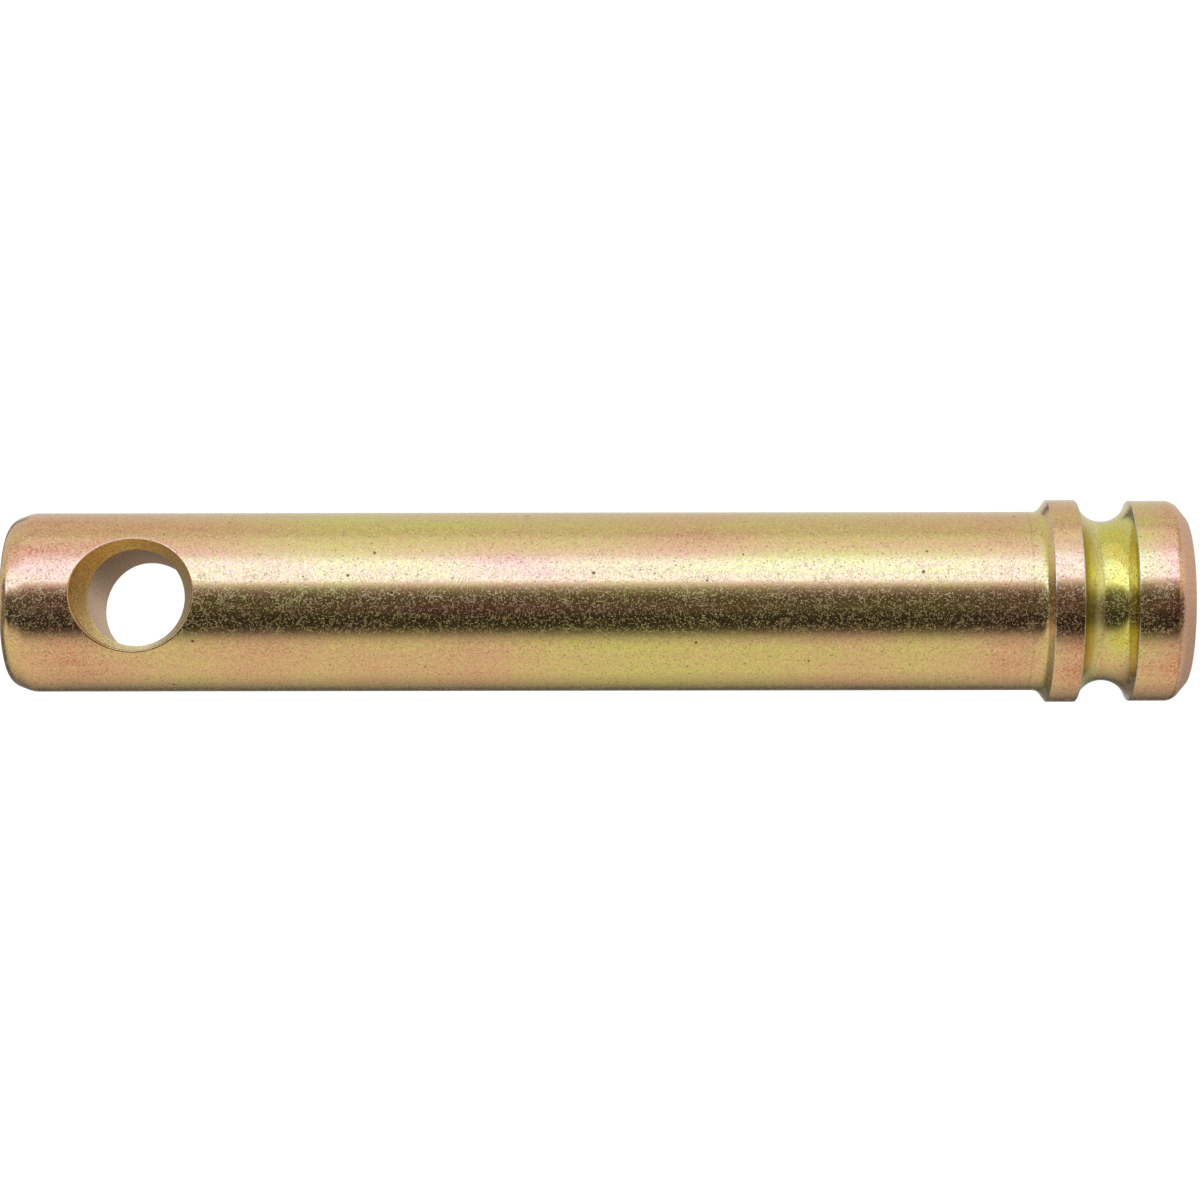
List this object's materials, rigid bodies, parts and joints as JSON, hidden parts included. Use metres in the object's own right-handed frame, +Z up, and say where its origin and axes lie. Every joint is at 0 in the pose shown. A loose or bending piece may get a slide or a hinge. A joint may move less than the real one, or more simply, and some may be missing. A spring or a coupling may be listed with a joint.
{
  "type": "top link pin",
  "caption": "Zinc-plated turned steel pin with a collared, grooved head and a countersunk cross hole for a linch pin, which holds a top link to a tractor hitch.",
  "frame": {"origin": "centre of the head's flat end face, on which the pin stands", "axes": "+Z up the axis of the pin to its tail, Y along the linch pin hole"},
  "size_m": [0.0215, 0.0214, 0.1251],
  "materials": {
    "plated_steel": "turned steel with yellow zinc chromate plating"
  },
  "bodies": {
    "root": {"pin": "plated_steel"}
  },
  "joints": []
}
